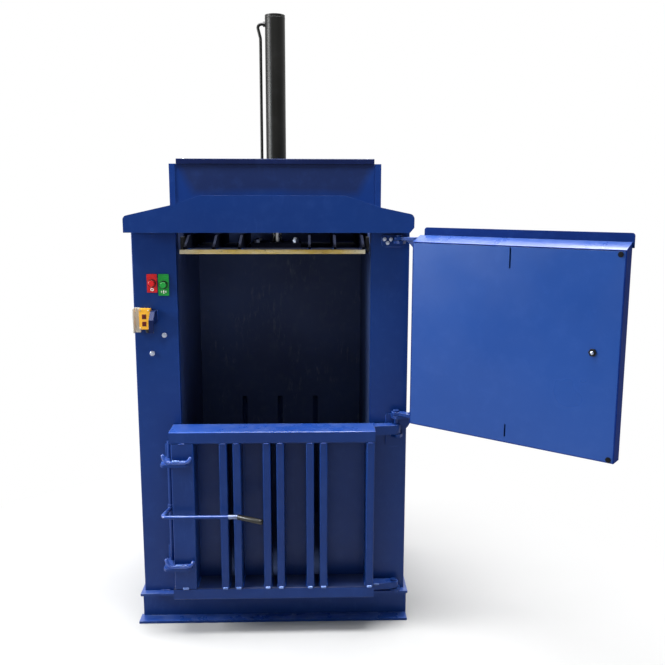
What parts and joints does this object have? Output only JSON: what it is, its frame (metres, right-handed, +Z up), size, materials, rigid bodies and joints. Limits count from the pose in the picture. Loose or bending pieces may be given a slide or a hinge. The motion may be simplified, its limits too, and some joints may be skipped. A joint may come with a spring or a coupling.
{
  "type": "recycling baler",
  "caption": "Vertical recycling baler with an open loading door, a slotted bale door with a lever lock, and a hydraulic ram on top.",
  "frame": {"origin": "on the floor, midway between the outer faces of the two columns, in the plane of their front faces", "axes": "+X to the right as the operator sees it, +Y to the back, +Z up"},
  "size_m": [1.7318, 1.3144, 2.437],
  "materials": {
    "blue_paint": "semi-gloss paint, worn at edges",
    "black_paint": "gloss",
    "grey_paint": "satin",
    "yellow_paint": "worn",
    "aluminium": "machined",
    "chrome": "polished",
    "zinc_steel": "zinc plated",
    "yellow_plastic": "moulded",
    "button_plate": "moulded, one red and one green",
    "red_plastic": "moulded",
    "green_plastic": "moulded",
    "black_rubber": "worn",
    "black_plastic": "moulded"
  },
  "bodies": {
    "frame": {"base_channels": "blue_paint", "chamber_floor": "blue_paint", "left_casing": "blue_paint", "right_casing": "blue_paint", "chamber_side_walls": "blue_paint", "chamber_back_wall": "blue_paint", "strap_channels": "blue_paint", "front_crossbeam": "blue_paint", "rear_crossbeam": "blue_paint", "cylinder_beams": "blue_paint", "cylinder_mount_plate": "blue_paint", "cylinder_barrel": "black_paint", "cylinder_gland": "zinc_steel", "hydraulic_pipe": "black_paint", "power_pack_tray": "blue_paint", "hydraulic_tank": "grey_paint", "valve_block": "aluminium", "pump_motor": "grey_paint", "housing_side_plates": "blue_paint", "housing_front_cover": "blue_paint", "housing_rear_cover": "blue_paint", "cable_gland": "black_plastic", "housing_top_plate": "blue_paint", "button_plates": "button_plate", "interlock_bracket": "zinc_steel", "interlock_switch": "yellow_plastic", "door_keeper": "blue_paint", "column_bolts": "zinc_steel", "hinge_brackets": "blue_paint", "hinge_pins": "blue_paint", "lock_keepers": "blue_paint"},
    "ram": {"ram_rod": "chrome", "ram_piston": "zinc_steel", "rod_flange": "blue_paint", "platen_plate": "blue_paint", "flange_bolts": "zinc_steel", "platen_nose_bar": "yellow_paint", "platen_ribs": "blue_paint", "guide_pads": "black_plastic"},
    "loading_door": {"loading_door_skin": "blue_paint", "loading_door_panel": "blue_paint", "loading_door_lip": "blue_paint", "loading_door_arms": "blue_paint", "loading_door_buffers": "black_rubber"},
    "door_handle": {"door_handle": "blue_paint", "latch_tongue": "zinc_steel", "spindle_nut": "zinc_steel"},
    "bale_door": {"gate_rails": "blue_paint", "gate_stiles": "blue_paint", "gate_panels": "blue_paint", "gate_ribs": "blue_paint", "gate_arms": "blue_paint", "lock_bearings": "blue_paint"},
    "lock": {"lock_shaft": "blue_paint", "lock_claws": "blue_paint", "lock_lever": "blue_paint", "lever_ferrule": "zinc_steel", "lever_grip": "black_rubber"},
    "red_button": {"red_button": "red_plastic"},
    "green_button": {"green_button": "green_plastic"}
  },
  "joints": [
    {"name": "ram_slide", "type": "slide", "parent": "frame", "child": "ram", "axis": [0, 0, -1], "range_m": [0, 0.7]},
    {"name": "loading_door_hinge", "type": "hinge", "parent": "frame", "child": "loading_door", "pos_m": [0.485, -0.028, 1.2], "axis": [0, 0, 1], "range_deg": [-141, 18]},
    {"name": "door_handle_turn", "type": "hinge", "parent": "loading_door", "child": "door_handle", "pos_m": [1.10199, -0.48645, 1.22], "axis": [-0.6293, -0.7771, 0], "range_deg": [0, 90]},
    {"name": "bale_door_hinge", "type": "hinge", "parent": "frame", "child": "bale_door", "pos_m": [0.485, -0.028, 0.5], "axis": [0, 0, 1], "range_deg": [0, 130]},
    {"name": "lock_turn", "type": "hinge", "parent": "bale_door", "child": "lock", "pos_m": [-0.402, -0.06, 0.5], "axis": [0, 0, -1], "range_deg": [-6, 90]},
    {"name": "red_button_press", "type": "slide", "parent": "frame", "child": "red_button", "axis": [0, 1, 0], "range_m": [0, 0.004], "stiffness_N_per_m": 800, "springref_m": -0.001},
    {"name": "green_button_press", "type": "slide", "parent": "frame", "child": "green_button", "axis": [0, 1, 0], "range_m": [0, 0.004], "stiffness_N_per_m": 800, "springref_m": -0.001}
  ]
}
